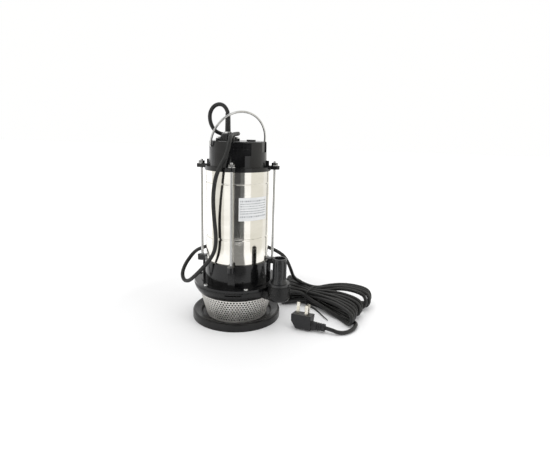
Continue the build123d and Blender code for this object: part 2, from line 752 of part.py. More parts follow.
def cover_panels():
    """Shallow recesses in the cover's side: a ribbed one in front, a flat under it, one at the right."""
    ribbed = panel(ribbed_depth, ribbed_width, ribbed_height, cover_top - 13.5)
    ribbed -= Pos(0, 5, 0) * panel_rib(1.8, 14, cover_top - 8)
    ribbed -= Pos(0, -6, 0) * panel_rib(1.8, 14, cover_top - 18)
    ribbed -= panel_rib(26, 1.6, cover_top - 13)
    flat = panel(flat_depth, flat_width, flat_height, shell_top + 19)
    pad = panel(pad_depth, pad_width, pad_height, cover_top - 8)
    return [Rot(0, 0, ribbed_angle) * ribbed, Rot(0, 0, flat_angle) * flat, Rot(0, 0, pad_angle) * pad]


def panel(depth, width, height, middle):
    """Block that cuts a recess of a given depth below the crown's upper radius, on the +X side."""
    centred = (Align.MIN, Align.CENTER, Align.CENTER)
    return Pos(cover_upper_radius - depth, 0, middle) * Box(depth + 6, width, height, align=centred)


def panel_rib(width, height, middle):
    """Rib that stands on the floor of a recess, almost up to the crown's surface."""
    centred = (Align.MIN, Align.CENTER, Align.CENTER)
    start = cover_upper_radius - ribbed_depth - 4
    return Pos(start, 0, middle) * Box(ribbed_depth + 3.1, width, height, align=centred)


def cover_plug():
    stem = post(cap_stem_radius, cover_top - cover_roof, cover_top)
    return Pos(cap_x, cap_y, 0) * (stem + post(cap_radius, cover_top, cover_top + cap_height))


def tie_rods():
    rod = post(rod_radius, lower_ear_bottom, rod_nut_base + nut_height + rod_overhang)
    return repeat(rod, rod_circle, rod_count)


def rod_washers():
    disc = ring(washer_radius, rod_radius + seat_gap, upper_ear_top, rod_nut_base)
    return repeat(disc, rod_circle, rod_count)


def rod_nuts():
    nut = hexagon(nut_radius, rod_nut_base, rod_nut_base + nut_height)
    nut -= post(rod_radius + seat_gap, upper_ear_top, rod_nut_base + nut_height + 1)
    return repeat(nut, rod_circle, rod_count)


# ---- Handle -------------------------------------------------------------------------------
def handle():
    """Wire bail: two pins that point inwards, two short legs and a half circle over the cover."""
    inner = pivot_hole_floor + 0.5
    turn = handle_half_span - handle_bend
    spring_line = pivot_height + handle_leg
    pin = Line((inner, pivot_height), (turn, pivot_height))
    bend = JernArc(pin @ 1, pin % 1, handle_bend, 90)
    leg = Line(bend @ 1, (handle_half_span, spring_line))
    crown = ThreePointArc(leg @ 1, (0, spring_line + handle_half_span), (-handle_half_span, spring_line))
    far_leg = Line(crown @ 1, (-handle_half_span, pivot_height + handle_bend))
    far_bend = JernArc(far_leg @ 1, far_leg % 1, handle_bend, 90)
    far_pin = Line(far_bend @ 1, (-inner, pivot_height))
    path = Plane.XZ * (pin + bend + leg + crown + far_leg + far_bend + far_pin)
    section = Plane(origin=(inner, 0, pivot_height), z_dir=(1, 0, 0)) * Circle(handle_wire_radius)
    lean = Pos(0, 0, pivot_height) * Rot(handle_lean, 0, 0) * Pos(0, 0, -pivot_height)
    return Rot(0, 0, handle_angle) * lean * sweep(section, path)


# ---- Cable gland --------------------------------------------------------------------------
def gland():
    dome = fillet(post(gland_radius, cover_top, cover_top + gland_height).edges().group_by(Axis.Z)[-1], 6.0)
    body = dome
    for side in (0, 180):
        lug = post(5.0, cover_top, cover_top + gland_flange_height)
        lug = Pos(gland_screw_offset, 0, 0) * lug
        web = block(gland_screw_offset, 10.0, cover_top, cover_top + gland_flange_height)
        body += Rot(0, 0, gland_screw_angle + side) * (lug + web)
    body -= post(boot_radius + seat_gap, cover_top - 1, cover_top + gland_height + 1)
    return Pos(gland_x, gland_y, 0) * body


def gland_band():
    base = cover_top + gland_height
    return Pos(gland_x, gland_y, 0) * ring(boot_radius + 1.6, boot_radius + seat_gap, base, base + 3.0)


def gland_screws():
    base = cover_top + gland_flange_height
    head = post(3.6, base, base + 2.6)
    return [Pos(gland_x, gland_y, 0) * on_circle(gland_screw_offset, gland_screw_angle + side) * head
            for side in (0, 180)]


def boot():
    base = cover_top + gland_height - boot_socket
    collar = cover_top + gland_height + 3.0
    tip = base + boot_height
    return Pos(gland_x, gland_y, 0) * turned([
        (0, base), (boot_radius, base), (boot_radius, collar), (boot_tip_radius, tip), (0, tip),
    ])


# ---- Nameplate and hose connector ---------------------------------------------------------
def nameplate():
    base = shell_bottom + nameplate_lift
    top = base + nameplate_height
    outer = shell_radius + nameplate_thickness
    section = Polyline((shell_radius, base), (outer, base), (outer, top), (shell_radius, top), close=True)
    return Rot(0, 0, nameplate_start) * revolve(Plane.XZ * make_face(section), Axis.Z, nameplate_sweep)


def hose_connector():
    base = connector_base
    flange_top_z = base + connector_flange_height
    top = base + connector_height
    body = post(connector_flange_radius, base, flange_top_z)
    body += post(connector_tube_radius, base, top)
    flare = connector_tube_radius + connector_foot_flare
    body += turned([(0, flange_top_z), (flare, flange_top_z), (connector_tube_radius, flange_top_z + 9),
                    (0, flange_top_z + 9)])
    for step in range(connector_rib_count):
        rib = block(connector_lip_radius, connector_rib_width, flange_top_z, top - connector_lip_height + 1)
        body += Rot(0, 0, 360.0 / connector_rib_count * step) * rib
    body += post(connector_lip_radius, top - connector_lip_height, top)
    body += post(boss_bore - seat_gap, base - connector_spigot, base + 1)
    body -= post(connector_bore, base - connector_spigot - 1, top + 1)
    return on_circle(outlet_distance, outlet_angle) * body


def outlet_gasket():
    sheet = ring(connector_flange_radius - 0.5, boss_bore + 0.2, boss_top, connector_base)
    return on_circle(outlet_distance, outlet_angle) * sheet


# ---- Lead, hank and plug ------------------------------------------------------------------
def corner_radii(route):
    """Largest arc that each corner's two runs allow."""
    radii = []
    for before, here, after in zip(route, route[1:], route[2:]):
        into = Vector(here) - Vector(before)
        out = Vector(after) - Vector(here)
        half_turn = math.radians(into.get_angle(out)) / 2
        radii.append(0.45 * min(into.length, out.length) / math.tan(half_turn))
    return radii


def cord(route, name):
    """Round cable along straight runs joined by tangent arcs."""
    radii = corner_radii(route)
    path = FilletPolyline(*route, radius=radii)
    tube = sweep(Plane(origin=path @ 0, z_dir=path % 0) * Circle(cord_radius), path)
    volume = math.pi * cord_radius ** 2 * path.length
    print(name, "length", round(path.length, 1), "volume ratio", round(tube.volume / volume, 4))
    print(name, "radii", [round(radius) for radius in radii])
    return tube


def hank():
    bundle = extrude(make_face(Polyline(*hank_outline, close=True)), hank_height)
    rear = extrude(make_face(Polyline(*hank_rear_outline, close=True)), hank_rear_height)
    return bundle + rear


def hank_tie():
    """Twisted wire tie round the hank's waist, with its two ends standing out at the front."""
    loop = Pos(tie_x, tie_y, 0) * Rot(0, 0, tie_turn)
    height = hank_rear_height
    outer = Box(2.0, tie_length, height + 1.0, align=(Align.CENTER, Align.CENTER, Align.MIN))
    inner = Box(3.0, tie_length - 2, height, align=(Align.CENTER, Align.CENTER, Align.MIN))
    tie = loop * (outer - inner)
    start = (loop * Pos(0, 0.5 - tie_length / 2, 5)).position
    for end in tie_ends:
        wire = Line(start, end)
        tie += sweep(Plane(origin=start, z_dir=wire % 0) * Circle(0.8), wire)
    return tie


def plug_place():
    return Pos(plug_x, plug_y, 0) * Rot(0, 0, plug_heading) * Rot(-plug_tilt, 0, 0)


def plug_solid():
    """Moulded plug on its back: a wedge of a body and a ribbed strain relief low on one side."""
    half = plug_length / 2
    heel = [(-half, plug_height), (-half, 14), (-half + 9, 0), (half, 0), (half, plug_height)]
    side = Polyline(*heel, close=True)
    body = extrude(Plane.XZ * make_face(side), plug_face_width / 2, both=True)
    for sign in (-1, 1):
        flank = Pos(0, sign * plug_face_width / 2, plug_height) * Rot(-sign * 11, 0, 0)
        body -= flank * Pos(0, sign * 20, 0) * Box(plug_length + 2, 40, 3 * plug_height)
    body = fillet(body.edges().filter_by(Axis.X), 1.2)
    on_end = (Align.CENTER, Align.CENTER, Align.MIN)
    cone = Cone(relief_root_radius, relief_tip_radius, relief_length + relief_root, align=on_end)
    neck = Pos(half - relief_root, 0, relief_height) * Rot(0, 90, 0) * cone
    for step in range(relief_groove_count):
        place = Pos(half + 11 + relief_groove_pitch * step, 0, relief_height) * Rot(0, 90, 0)
        neck -= place * (Cylinder(9, 1.6) - Cylinder(relief_tip_radius - 0.9, 1.7))
    return body + neck


def plug_blades():
    """Earth blade and two angled line blades, standing out of the plug's face."""
    blades = []
    for along, across, turn, length in ((-10.3, 0, 0, earth_blade_length), (7.9, -6.9, 30, blade_length),
                                        (7.9, 6.9, -30, blade_length)):
        blade = Box(blade_width, blade_thickness, length, align=(Align.CENTER, Align.CENTER, Align.MIN))
        blade = chamfer(blade.faces().sort_by(Axis.Z)[-1].edges(), 0.5)
        blades.append(Pos(along, across, plug_height) * Rot(0, 0, turn) * blade)
    return blades


def plug_lift():
    """Height that stands the tilted plug on the floor."""
    return -(plug_place() * plug_solid()).bounding_box().min.Z


def build():
    save("foot", foot())
    save("foot_screws", foot_screws())
    save("strainer", strainer())
    save("pump_casing", casing())
    save("wear_ring", wear_ring())
    save("casing_gasket", gasket())
    save("flange_screws", flange_screws())
    save("impeller", impeller())
    save("impeller_key", impeller_key())
    save("impeller_nut", impeller_nut())
    save("shaft", shaft())
    save("lower_bracket", lower_bracket())
    save("oil_plug", oil_plug())
    save("lower_o_ring", o_ring(shell_bottom + o_ring_lift))
    save("upper_o_ring", o_ring(upper_o_ring_base))
    save("seal_seat", seal_seat())
    save("seal_face", seal_face())
    save("seal_spring", seal_spring())
    save("seal_collar", seal_collar())
    lower = bearing(lower_bearing_radius, shaft_seal_radius, lower_bearing_base, lower_bearing_width,
                    lower_ball_radius, lower_ball_count)
    upper = bearing(upper_bearing_radius, shaft_hub_radius, upper_bearing_base, upper_bearing_width,
                    upper_ball_radius, upper_ball_count)
    for place, pieces in (("lower", lower), ("upper", upper)):
        for piece, shape in zip(("inner_ring", "outer_ring", "balls", "cage"), pieces):
            save(f"{place}_bearing_{piece}", shape)
    save("motor_shell", shell())
    save("stator_core", stator())
    save("stator_winding", winding())
    save("rotor_core", rotor_core())
    save("rotor_end_rings", rotor_end_rings())
    save("end_shield", end_shield())
    save("bearing_cap", bearing_cap())
    save("wave_washer", wave_washer())
    save("capacitor", capacitor())
    save("capacitor_clip", capacitor_clip())
    save("terminal_block", terminal_block())
    save("top_cover", top_cover())
    save("cover_plug", cover_plug())
    save("tie_rods", tie_rods())
    save("rod_washers", rod_washers())
    save("rod_nuts", rod_nuts())
    save("handle", handle())
    save("cable_gland", gland())
    save("gland_band", gland_band())
    save("gland_screws", gland_screws())
    save("cable_boot", boot())
    save("nameplate", nameplate())
    save("hose_connector", hose_connector())
    save("outlet_gasket", outlet_gasket())
    save("cord_lead", cord(lead_route, "lead"))
    save("cord_hank", hank())
    save("cord_tail", cord(tail_route, "tail"))
    save("hank_tie", hank_tie())
    stand = Pos(0, 0, plug_lift()) * plug_place()
    save("plug_body", stand * plug_solid())
    save("plug_blades", [stand * blade for blade in plug_blades()])
    print("plug cable entry", stand * Pos(plug_length / 2 + relief_length, 0, relief_height))


build()
os.makedirs("parts", exist_ok=True)
for node, shape in parts.items():
    export_step(shape, f"parts/{node}.step")
print(len(parts), "nodes")
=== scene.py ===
# %% [markdown]
# A submersible sump pump, rebuilt for looks around its CAD model. The CAD model holds every shape,
# size and joint. This file gives the visible pieces rounded edges, finishes and small detail, and
# lays the mains lead as one real length of cable. All lengths are in metres, +Z is up the shaft and
# the front of the pump faces -Y.

import math
import random

import bmesh
import bpy
from mathutils import Matrix, Vector


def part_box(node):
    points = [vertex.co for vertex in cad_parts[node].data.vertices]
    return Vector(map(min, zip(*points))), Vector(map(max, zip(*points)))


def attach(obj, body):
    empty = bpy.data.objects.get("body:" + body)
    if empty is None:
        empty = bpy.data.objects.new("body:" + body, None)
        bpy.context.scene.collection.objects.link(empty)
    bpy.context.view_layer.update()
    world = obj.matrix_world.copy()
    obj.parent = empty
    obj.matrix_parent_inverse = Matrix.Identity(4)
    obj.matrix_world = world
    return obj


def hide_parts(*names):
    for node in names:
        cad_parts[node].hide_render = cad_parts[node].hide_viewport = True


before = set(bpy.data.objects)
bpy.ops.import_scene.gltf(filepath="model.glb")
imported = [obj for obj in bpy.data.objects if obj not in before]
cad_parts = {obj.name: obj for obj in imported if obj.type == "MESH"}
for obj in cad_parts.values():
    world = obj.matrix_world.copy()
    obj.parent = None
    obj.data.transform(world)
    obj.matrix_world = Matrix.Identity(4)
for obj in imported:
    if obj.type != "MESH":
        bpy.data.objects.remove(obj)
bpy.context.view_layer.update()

# %% [markdown]
# The camera stands a little above the pump and to its right, and looks down about 13 degrees, as
# one does at a thing on a table. Its turn is built from three rotations: the heading about Z, the
# tilt about X, and a slight roll about the line of sight.

# %% Camera
camera_place = (0.1265, -0.8008, 0.3693)
camera_heading = 3.8
camera_tilt = 77.2
camera_roll = 1.68

camera_data = bpy.data.cameras.new("camera")
camera_data.sensor_width = 36.0
camera_data.lens = 27.84
camera = bpy.data.objects.new("camera", camera_data)
bpy.context.scene.collection.objects.link(camera)
turn = Matrix.Rotation(math.radians(camera_heading), 4, "Z")
turn = turn @ Matrix.Rotation(math.radians(camera_tilt), 4, "X")
turn = turn @ Matrix.Rotation(math.radians(camera_roll), 4, "Z")
camera.matrix_world = Matrix.Translation(camera_place) @ turn
bpy.context.scene.camera = camera
print("camera", round(camera.location.z, 3), "m above the floor")

# %% [markdown]
# bpy.ops works on whatever is selected, so most mistakes with it are mistakes of selection. These
# helpers select exactly one object, open it in edit mode with nothing selected, and select faces
# or edges by a test on their own place. Every later step uses them.


# %% Selection helpers
def only(piece):
    """Selects one object and makes it active."""
    bpy.ops.object.select_all(action="DESELECT")
    piece.select_set(True)
    bpy.context.view_layer.objects.active = piece


def open_mesh(piece, mode="FACE"):
    """Opens a mesh in edit mode with nothing selected."""
    only(piece)
    bpy.ops.object.mode_set(mode="EDIT")
    bpy.ops.mesh.select_mode(type=mode)
    bpy.ops.mesh.select_all(action="DESELECT")


def close_mesh():
    bpy.ops.object.mode_set(mode="OBJECT")


def pick(piece, kind, test):
    """Selects the verts, edges or faces of the open mesh whose middle passes the test."""
    mesh = bmesh.from_edit_mesh(piece.data)
    found = 0
    for item in getattr(mesh, kind):
        corners = [item] if kind == "verts" else item.verts
        middle = sum((vert.co for vert in corners), Vector()) / len(corners)
        if test(middle, item):
            item.select_set(True)
            found += 1
    mesh.select_flush_mode()
    bmesh.update_edit_mesh(piece.data)
    return found


def apply_modifiers(piece):
    only(piece)
    for modifier in list(piece.modifiers):
        bpy.ops.object.modifier_apply(modifier=modifier.name)


def settle(piece, name, smooth_angle=35.0):
    """Bakes the object's place into its mesh, so that it sits at the origin, and names it."""
    only(piece)
    bpy.ops.object.transform_apply(location=True, rotation=True, scale=True)
    bpy.ops.object.shade_smooth_by_angle(angle=math.radians(smooth_angle))
    piece.name = name
    piece.data.name = name
    return piece


def face_outwards(piece):
    """Merges doubled points first, because normals can't be made consistent across a gap."""
    open_mesh(piece)
    bpy.ops.mesh.select_all(action="SELECT")
    bpy.ops.mesh.remove_doubles(threshold=0.00001)
    bpy.ops.mesh.normals_make_consistent(inside=False)
    close_mesh()


def count(piece):
    return len(piece.data.polygons)


print("helpers ready")

# %% [markdown]
# The mains lead is one length of round three-core cable, so it is one open curve: out of the boot
# in a tight loop, down the front left of the pump, round behind it on the lower ears, and down into
# a tied hank. A NURBS curve of order 3 runs smoothly near its points without passing through them,
# which is how a stiff cable lies. The order is set after the points, because Blender lowers it
# while a curve is still short.

# %% Route of the lead
cable_diameter = 0.0074

lead_route = [
    (-0.020, 0.003, 0.394), (-0.023, 0.003, 0.404), (-0.034, 0.005, 0.411), (-0.047, 0.005, 0.407),
    (-0.055, 0.005, 0.393), (-0.054, 0.006, 0.376), (-0.047, 0.010, 0.362), (-0.036, 0.017, 0.356),
    (-0.023, 0.023, 0.354), (-0.008, 0.020, 0.356), (0.001, 0.006, 0.358), (-0.005, -0.018, 0.357),
    (-0.006, -0.050, 0.355), (-0.005, -0.063, 0.343), (-0.009, -0.064, 0.325), (-0.017, -0.066, 0.308),
    (-0.026, -0.069, 0.291), (-0.031, -0.069, 0.269), (-0.034, -0.065, 0.242), (-0.033, -0.060, 0.205),
    (-0.030, -0.059, 0.178), (-0.030, -0.060, 0.158), (-0.034, -0.060, 0.142), (-0.043, -0.059, 0.127),
    (-0.057, -0.054, 0.110), (-0.072, -0.048, 0.093), (-0.087, -0.040, 0.078), (-0.100, -0.029, 0.075),
    (-0.106, -0.020, 0.086), (-0.101, -0.014, 0.103), (-0.092, -0.009, 0.117), (-0.087, 0.002, 0.124),
    (-0.082, 0.022, 0.126), (-0.063, 0.056, 0.126), (-0.031, 0.078, 0.126), (0.005, 0.084, 0.126),
    (0.041, 0.074, 0.126), (0.071, 0.049, 0.123), (0.087, 0.058, 0.111), (0.096, 0.064, 0.098),
    (0.102, 0.071, 0.083), (0.107, 0.080, 0.067), (0.111, 0.092, 0.051), (0.122, 0.103, 0.037),
]
tail_route = [
    (0.238, -0.036, 0.006), (0.230, -0.054, 0.004), (0.216, -0.068, 0.004), (0.201, -0.073, 0.005),
    (0.189, -0.0699, 0.0086), (0.17677, -0.06625, 0.00989),
]
print(len(lead_route), "points to the hank,", len(tail_route), "points from it to the plug")

# %% [markdown]
# The rest of the cable is folded into a hank. Ten turns run back and forth through a tie, five
# columns wide and four cables high, and fan out into loose bights at both ends. Real bights are
# never alike, so each turn follows a blend of a rear and a front guide line, a little longer or
# shorter than its neighbours. The loop below works the turns out, sixteen points for each.

# %% Hank guides
turn_count = 10
pitch = 0.0077                     # between cables that lie side by side
floor_level = 0.0039               # centre of a cable that lies on the floor
waist = Vector((0.153, 0.077, 0.0))
across = Vector((0.485, 0.875, 0.0))
rear_guide = [Vector((0.193, 0.101, 0.0)), Vector((0.231, 0.095, 0.0)), Vector((0.262, 0.079, 0.0))]
front_guide = [Vector((0.176, 0.036, 0.0)), Vector((0.203, 0.002, 0.0)), Vector((0.220, -0.028, 0.0))]
left_rear_guide = [Vector((0.136, 0.117, 0.0)), Vector((0.108, 0.144, 0.0))]
left_front_guide = [Vector((0.126, 0.063, 0.0)), Vector((0.101, 0.056, 0.0))]
fan = [0.0, 0.08, 0.16, 0.25, 0.49, 0.59, 0.70, 0.80, 0.90, 1.0]
bight_angles = (67.5, 22.5, -22.5, -67.5)
corner_reach = 1.0 / math.cos(math.radians(22.5))
left_reach = 0.014                 # half the height of the bights at the left end
slip_range = (-0.004, 0.005)       # how much longer or shorter one turn is than the next
wobble = random.Random(11)


def column_place(turn_index):
    """Place of a turn's column in the tie; two turns share a column, one nested in the other."""
    column = min(turn_index // 2, 5) if turn_index < turn_count else 5
    return waist + across * pitch * (2 - column)


def run_levels(turn_index):
    """Heights of a turn's lower and upper run where they pass through the tie."""
    nested = turn_index % 2 if turn_index < turn_count else 0
    lower = floor_level + pitch * nested
    upper = floor_level + pitch * (3 - nested)
    return lower, upper


def bight(centre, heading, radius, low, high, downwards):
    """Points of a fold from one run to the other, standing up on the floor."""
    middle = (low + high) / 2
    rise = (high - low) / 2 * corner_reach
    points = []
    for angle in bight_angles if downwards else reversed(bight_angles):
        out = radius * corner_reach * math.cos(math.radians(angle))
        up = rise * math.sin(math.radians(angle))
        points.append(centre + heading * out + Vector((0, 0, middle + up)))
    return points


def lifted(point, height):
    return Vector((point.x, point.y, height))


hank_points = []
for index in range(turn_count):
    share = fan[index]
    slip = wobble.uniform(*slip_range)
    low, high = run_levels(index)
    column = column_place(index)
    right = [rear.lerp(front, share) for rear, front in zip(rear_guide, front_guide)]
    ahead = (right[2] - right[1]).normalized()
    top = (0.036 + 0.003 * math.cos(math.pi * share)) - 0.004 * share
    swing = Vector((-0.004, -0.006, 0.0)) * (1 - share)
    hank_points.append(lifted(column, high))
    hank_points.append(lifted(right[0], (high + top) / 2))
    hank_points.append(lifted(right[1], top))
    reach = (top - floor_level) / 2
    hank_points += bight(right[2] + ahead * slip, ahead, reach, floor_level, top, True)
    hank_points.append(lifted(right[1] + swing * 1.5, floor_level))
    hank_points.append(lifted(right[0] + swing, (low + floor_level) / 2))
    hank_points.append(lifted(column, low))
    left_share = index / (turn_count - 1)
    left = [rear.lerp(front, left_share) for rear, front in zip(left_rear_guide, left_front_guide)]
    back = (left[1] - left[0]).normalized()
    left_top = 0.033 - 0.004 * left_share
    hank_points.append(lifted(left[0], (low + floor_level) / 2))
    hank_points += bight(left[1] + back * slip, back, left_reach, floor_level, left_top, False)
    next_high = run_levels(index + 1)[1]
    hank_points.append(lifted(left[0], (next_high + left_top) / 2))
last_run = [
    lifted(column_place(turn_count), floor_level + 2 * pitch), Vector((0.174, 0.028, 0.012)),
    Vector((0.201, -0.003, 0.006)), Vector((0.224, -0.016, floor_level)),
    Vector((0.237, -0.023, 0.0045)),
]
print(len(hank_points), "points in", turn_count, "turns")

# %% Route and curve helpers
route = [Vector(point) for point in lead_route] + hank_points + last_run
route += [Vector(point) for point in tail_route]


def nurbs(name, points, radius):
    """A round cable along one open spline that ends on its first and last points."""
    curve = bpy.data.curves.new(name, "CURVE")
    curve.dimensions = "3D"
    spline = curve.splines.new("NURBS")
    spline.points.add(len(points) - 1)
    for place, point in zip(spline.points, points):
        place.co = (point[0], point[1], point[2], 1.0)
    spline.order_u = 3
    spline.use_endpoint_u = True
    spline.resolution_u = 5
    curve.bevel_depth = radius
    curve.bevel_resolution = 3
    curve.use_fill_caps = True
    piece = bpy.data.objects.new(name, curve)
    bpy.context.scene.collection.objects.link(piece)
    return piece


def spline_points(piece):
    """The points that a curve really passes, read from a copy with no thickness."""
    bare = piece.data.copy()
    bare.bevel_depth = 0.0
    bare.use_fill_caps = False
    holder = bpy.data.objects.new("bare_line", bare)
    line = bpy.data.meshes.new_from_object(holder)
    points = [vert.co.copy() for vert in line.vertices]
    bpy.data.objects.remove(holder)
    bpy.data.meshes.remove(line)
    return points


print(len(route), "points in the whole route")

# %% [markdown]
# Every finish below starts from one recipe. A real surface is never one flat value: paint pools and
# dulls, castings are grainy, drawn metal has lines. So the recipe mixes two shades with a soft
# noise, lets the same noise vary the roughness, and adds a fine bump at the grain's true size. All
# of it reads Object coordinates, which are metres here, so a scale of 1000 is a grain of 1 mm.


# %% Finish recipe
def new_finish(name):
    material = bpy.data.materials.new(name)
    material.use_nodes = True
    tree = material.node_tree
    shader = tree.nodes["Principled BSDF"]
    place = tree.nodes.new("ShaderNodeTexCoord")
    return material, tree, shader, place.outputs["Object"]


def stretched(tree, coordinates, stretch):
    """Object coordinates scaled by axis, which turns round grains into lines."""
    mapping = tree.nodes.new("ShaderNodeMapping")
    mapping.inputs["Scale"].default_value = stretch
    tree.links.new(coordinates, mapping.inputs["Vector"])
    return mapping.outputs["Vector"]


def noise(tree, coordinates, scale, detail=3.0):
    texture = tree.nodes.new("ShaderNodeTexNoise")
    texture.inputs["Scale"].default_value = scale
    texture.inputs["Detail"].default_value = detail
    tree.links.new(coordinates, texture.inputs["Vector"])
    return texture.outputs["Fac"]


def ramp(tree, factor, low, high, start=0.35, end=0.65):
    """Blend between two colours over a part of the factor's range."""
    blend = tree.nodes.new("ShaderNodeValToRGB")
    blend.color_ramp.elements[0].position = start
    blend.color_ramp.elements[0].color = (*low, 1.0)
    blend.color_ramp.elements[1].position = end
    blend.color_ramp.elements[1].color = (*high, 1.0)
    tree.links.new(factor, blend.inputs["Fac"])
    return blend.outputs["Color"]


def spread(tree, factor, low, high, start=0.3, end=0.7):
    """Number that runs from low to high as the factor runs from start to end."""
    fit = tree.nodes.new("ShaderNodeMapRange")
    fit.inputs["From Min"].default_value = start
    fit.inputs["From Max"].default_value = end
    fit.inputs["To Min"].default_value = low
    fit.inputs["To Max"].default_value = high
    tree.links.new(factor, fit.inputs["Value"])
    return fit.outputs["Result"]


def bump(tree, shader, height, depth):
    """Adds a bump under any bump that the shader already has."""
    relief = tree.nodes.new("ShaderNodeBump")
    relief.inputs["Distance"].default_value = depth
    relief.inputs["Strength"].default_value = 1.0
    tree.links.new(height, relief.inputs["Height"])
    normal = shader.inputs["Normal"]
    if normal.is_linked:
        tree.links.new(normal.links[0].from_socket, relief.inputs["Normal"])
    tree.links.new(relief.outputs["Normal"], normal)


def finish(name, shades, gloss, grain, patch=60.0, metal=0.0, coat=0.0, stretch=None,
           grain_depth=0.00005, shine=0.5):
    """Two shades, a range of roughness and a grain, as on paint, castings, plastics and metals."""
    material, tree, shader, coordinates = new_finish(name)
    if stretch:
        coordinates = stretched(tree, coordinates, stretch)
    patches = noise(tree, coordinates, patch)
    fine = noise(tree, coordinates, grain, 5.0)
    tree.links.new(ramp(tree, patches, *shades), shader.inputs["Base Color"])
    tree.links.new(spread(tree, patches, *gloss), shader.inputs["Roughness"])
    bump(tree, shader, fine, grain_depth)
    shader.inputs["Metallic"].default_value = metal
    shader.inputs["Coat Weight"].default_value = coat
    shader.inputs["Coat Roughness"].default_value = 0.12
    shader.inputs["Specular IOR Level"].default_value = shine
    return material


print("recipe ready")

# %% [markdown]
# The cover and the lower bracket are castings under gloss enamel. The enamel hides the grain but
# flows into a faint orange peel, and a clear coat over a dark base gives the sharp highlight.

# %% Gloss enamel
gloss_enamel = finish("gloss_enamel", ((0.004, 0.004, 0.0045), (0.009, 0.009, 0.0095)),
                      (0.10, 0.24), 320.0, patch=35.0, coat=0.12, grain_depth=0.00006, shine=0.35)
print(gloss_enamel.name)

# %% [markdown]
# The pump casing keeps the skin of its sand mould. Two bumps make it: coarse lumps of about 2 mm
# and, over them, grains of half a millimetre.

# %% Rough casting
rough_casting = finish("rough_casting", ((0.005, 0.005, 0.005), (0.011, 0.011, 0.011)),
                       (0.22, 0.42), 2200.0, patch=130.0, grain_depth=0.00014, shine=0.3)
casting_tree = rough_casting.node_tree
casting_shader = casting_tree.nodes["Principled BSDF"]
casting_place = casting_tree.nodes["Texture Coordinate"].outputs["Object"]
bump(casting_tree, casting_shader, noise(casting_tree, casting_place, 480.0), 0.00025)
print(rough_casting.name)

# %% [markdown]
# The foot has the same paint over a turned casting, so its grain is fainter. Turning leaves fine
# rings about the shaft, which a wave texture of ring type gives.

# %% Foot paint
foot_paint = finish("foot_paint", ((0.005, 0.005, 0.005), (0.010, 0.0095, 0.0095)), (0.24, 0.40), 900.0,
                    patch=70.0, coat=0.05, grain_depth=0.00008, shine=0.3)
foot_tree = foot_paint.node_tree
rings = foot_tree.nodes.new("ShaderNodeTexWave")
rings.wave_type = "RINGS"
rings.rings_direction = "Z"
rings.inputs["Scale"].default_value = 220.0
rings.inputs["Distortion"].default_value = 1.5
foot_tree.links.new(foot_tree.nodes["Texture Coordinate"].outputs["Object"], rings.inputs["Vector"])
bump(foot_tree, foot_tree.nodes["Principled BSDF"], rings.outputs["Fac"], 0.00002)
print(foot_paint.name)

# %% [markdown]
# The motor shell is polished stainless tube, a mirror with very fine lines round it. Its bright base
# colour is the steel's own, and its warm cream tint is a painted reflection of warm surroundings. Low
# roughness, and a noise squeezed along Z for the lines: its scale across is small, so it hardly changes
# round the tube.

# %% Polished stainless
# The warm cream tint in both shades of the shell is a painted reflection.
polished_stainless = finish("polished_stainless", ((0.80, 0.775, 0.72), (0.86, 0.84, 0.79)),
                            (0.07, 0.13), 700.0, patch=9.0, metal=1.0, stretch=(1.0, 1.0, 7.0),
                            grain_depth=0.000004)
strainer_steel = finish("strainer_steel", ((0.78, 0.76, 0.72), (0.90, 0.88, 0.84)), (0.34, 0.48), 900.0,
                        patch=60.0, metal=0.55, grain_depth=0.00001)
print(polished_stainless.name, strainer_steel.name)

# %% [markdown]
# Rods and wire are drawn through a die, so their lines run along them. The rods stand upright,
# and a noise stretched along Z gives such lines. Other nuts, washers and screws are bright zinc, which
# is patchy at the size of a few millimetres. The nuts on the rods are a darker metal, in lighter and
# darker patches.

# %% Rods, wire and fasteners
rod_steel = finish("rod_steel", ((0.50, 0.50, 0.50), (0.66, 0.66, 0.66)), (0.14, 0.28), 1500.0,
                   patch=300.0, metal=1.0, stretch=(1.0, 1.0, 0.03), grain_depth=0.000015)
bright_zinc = finish("bright_zinc", ((0.74, 0.75, 0.77), (0.88, 0.87, 0.84)), (0.14, 0.30), 1200.0,
                     patch=160.0, metal=1.0, grain_depth=0.00002)
# The rod nuts are given a metal darker than the bright zinc, with lighter and darker patches.
darker_nut_metal = finish("darker_nut_metal", ((0.10, 0.10, 0.10), (0.34, 0.34, 0.33)), (0.16, 0.32), 1200.0,
                    patch=110.0, metal=1.0, grain_depth=0.00002)
plated_wire = finish("plated_wire", ((0.50, 0.50, 0.50), (0.66, 0.66, 0.65)), (0.05, 0.12), 800.0,
                     patch=90.0, metal=1.0, grain_depth=0.000006)
print(rod_steel.name, bright_zinc.name, darker_nut_metal.name, plated_wire.name)

# %% [markdown]
# Four kinds of black polymer. The hose connector is moulded nylon, semi-matt with a spark-eroded
# grain. The cable's rubber sheath is matt and a little dusty. The plug is a softer moulding with a
# finer texture, and the twist tie's coating is smooth. The blades are nickel-plated brass.

